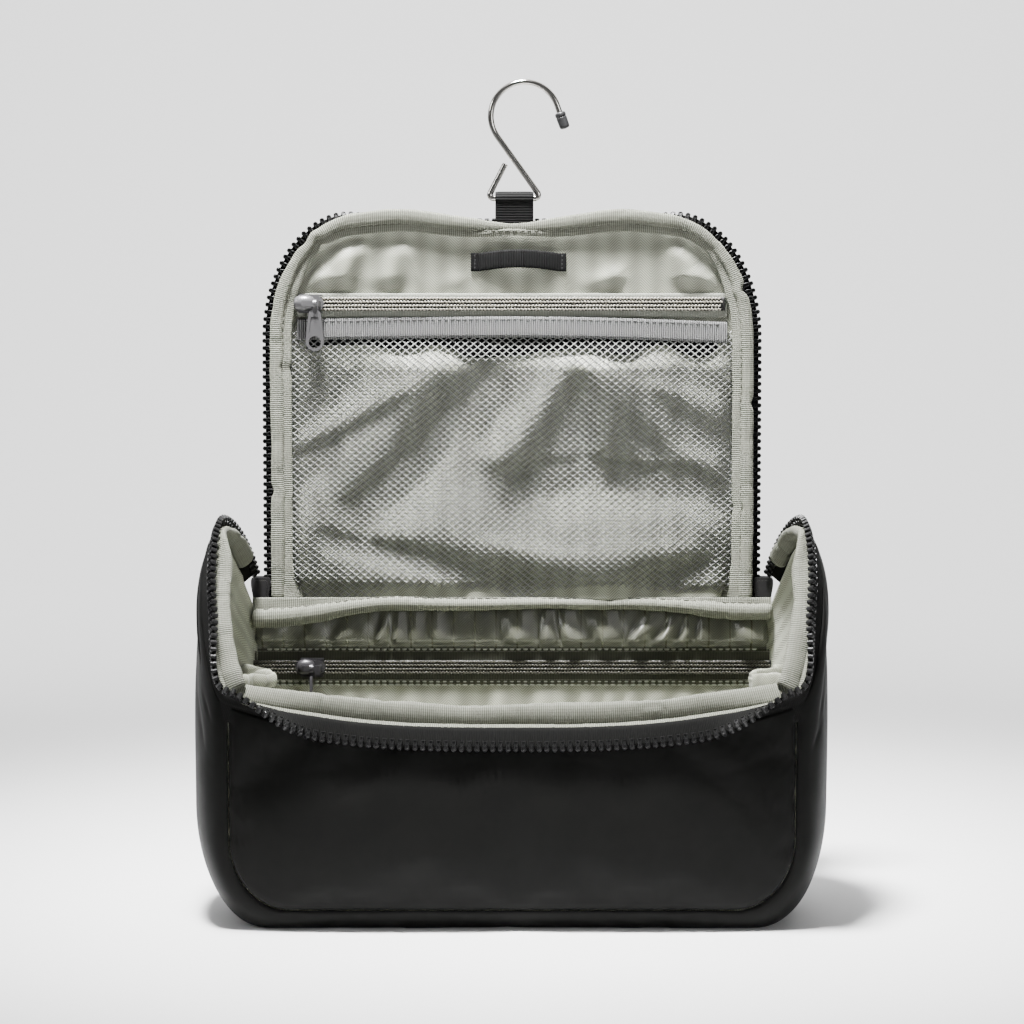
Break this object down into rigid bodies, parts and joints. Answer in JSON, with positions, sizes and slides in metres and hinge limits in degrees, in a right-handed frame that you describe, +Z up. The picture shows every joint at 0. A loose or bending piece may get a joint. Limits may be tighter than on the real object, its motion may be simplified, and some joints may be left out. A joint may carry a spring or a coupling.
{
  "type": "hanging toiletry bag",
  "caption": "Black hanging toiletry bag standing open, with a light striped lining, a mesh pocket in its raised lid and a wire hook.",
  "frame": {"origin": "on the floor under the middle of the bag's box", "axes": "+Z up the raised lid, -Y out of the front, +X to the right seen from the front"},
  "size_m": [0.2616, 0.1146, 0.3489],
  "materials": {
    "coated_fabric": "soft matte coated fabric",
    "foam": "plain padding, hidden",
    "lining": "satin striped twill",
    "binding": "ribbed binding tape",
    "mesh": "open mesh",
    "grey_tape": "grosgrain",
    "black_tape": "woven tape",
    "black_zip": "moulded",
    "grey_coil": "coiled",
    "dark_coil": "coiled",
    "grey_metal": "satin paint",
    "dark_metal": "satin paint",
    "steel_wire": "polished dark nickel",
    "rubber": "satin"
  },
  "bodies": {
    "body": {"gusset_panel": "coated_fabric", "gusset_foam": "foam", "gusset_lining": "lining", "front_panel": "coated_fabric", "front_foam": "foam", "front_lining": "lining", "back_panel": "coated_fabric", "back_foam": "foam", "back_lining": "lining", "rear_pocket_bag": "lining", "rear_pocket_zip_tape": "black_tape", "rear_pocket_coil": "dark_coil", "side_pocket_left": "lining", "side_pocket_right": "lining", "side_pocket_hem_left": "lining", "side_pocket_hem_right": "lining", "body_zip_tape": "black_tape", "body_zip_teeth": "black_zip", "body_binding": "binding", "hinge_binding": "binding"},
    "rear_slider": {"rear_pocket_slider": "dark_metal"},
    "rear_pull": {"rear_pocket_pull": "dark_metal"},
    "lid_lower": {"lid_shell_lower": "coated_fabric", "lid_foam_lower": "foam", "lid_lining_lower": "lining", "lid_mesh_lower": "mesh", "lid_binding_left": "binding", "lid_binding_right": "binding", "lid_zip_tape_left": "black_tape", "lid_zip_tape_right": "black_tape", "lid_zip_teeth_left": "black_zip", "lid_zip_teeth_right": "black_zip"},
    "lid_upper": {"lid_shell_upper": "coated_fabric", "lid_foam_upper": "foam", "lid_lining_upper": "lining", "lid_mesh_upper": "mesh", "lid_binding_upper": "binding", "lid_zip_tape_upper": "black_tape", "lid_zip_teeth_upper": "black_zip", "lid_pocket_band": "grey_tape", "lid_pocket_zip_tape": "grey_tape", "lid_pocket_coil": "grey_coil", "webbing_loop": "black_tape", "keeper_strap": "black_tape"},
    "hook": {"hook_wire": "steel_wire", "hook_tip": "rubber"},
    "lid_slider": {"lid_pocket_slider": "grey_metal"},
    "lid_pull": {"lid_pocket_pull": "grey_metal"},
    "slider_left": {"main_slider_left": "dark_metal"},
    "slider_right": {"main_slider_right": "dark_metal"},
    "pull_left": {"main_pull_left": "dark_metal"},
    "pull_right": {"main_pull_right": "dark_metal"}
  },
  "joints": [
    {"name": "lid_fold", "type": "hinge", "parent": "body", "child": "lid_lower", "pos_m": [0, 0.04365, 0.125], "axis": [1, 0, 0], "range_deg": [0, 62]},
    {"name": "lid_bend", "type": "hinge", "parent": "lid_lower", "child": "lid_upper", "pos_m": [0, 0.04365, 0.209], "axis": [1, 0, 0], "range_deg": [0, 100]},
    {"name": "hook_swing", "type": "hinge", "parent": "lid_upper", "child": "hook", "pos_m": [0, 0.04885, 0.298], "axis": [-1, 0, 0], "range_deg": [-120, 85]},
    {"name": "lid_pocket_slide", "type": "slide", "parent": "lid_upper", "child": "lid_slider", "axis": [1, 0, 0], "range_m": [0, 0.17]},
    {"name": "lid_pull_swing", "type": "hinge", "parent": "lid_slider", "child": "lid_pull", "pos_m": [-0.0865, 0.04075, 0.2528], "axis": [1, 0, 0], "range_deg": [-140, 0]},
    {"name": "rear_pocket_slide", "type": "slide", "parent": "body", "child": "rear_slider", "axis": [1, 0, 0], "range_m": [0, 0.172]},
    {"name": "rear_pull_swing", "type": "hinge", "parent": "rear_slider", "child": "rear_pull", "pos_m": [-0.0865, 0.04005, 0.0958], "axis": [1, 0, 0], "range_deg": [-140, 0]},
    {"name": "slider_left_slide", "type": "slide", "parent": "lid_lower", "child": "slider_left", "axis": [0, 0, 1], "range_m": [0, 0.068]},
    {"name": "slider_right_slide", "type": "slide", "parent": "lid_lower", "child": "slider_right", "axis": [0, 0, 1], "range_m": [0, 0.068]},
    {"name": "pull_left_swing", "type": "hinge", "parent": "slider_left", "child": "pull_left", "pos_m": [-0.1088, 0.05275, 0.1305], "axis": [1, 0, 0], "range_deg": [0, 150]},
    {"name": "pull_right_swing", "type": "hinge", "parent": "slider_right", "child": "pull_right", "pos_m": [0.1088, 0.05275, 0.1305], "axis": [1, 0, 0], "range_deg": [0, 150]}
  ],
  "couplings": [
    {"joint": "lid_bend", "follows": "lid_fold", "ratio": 1.6}
  ]
}
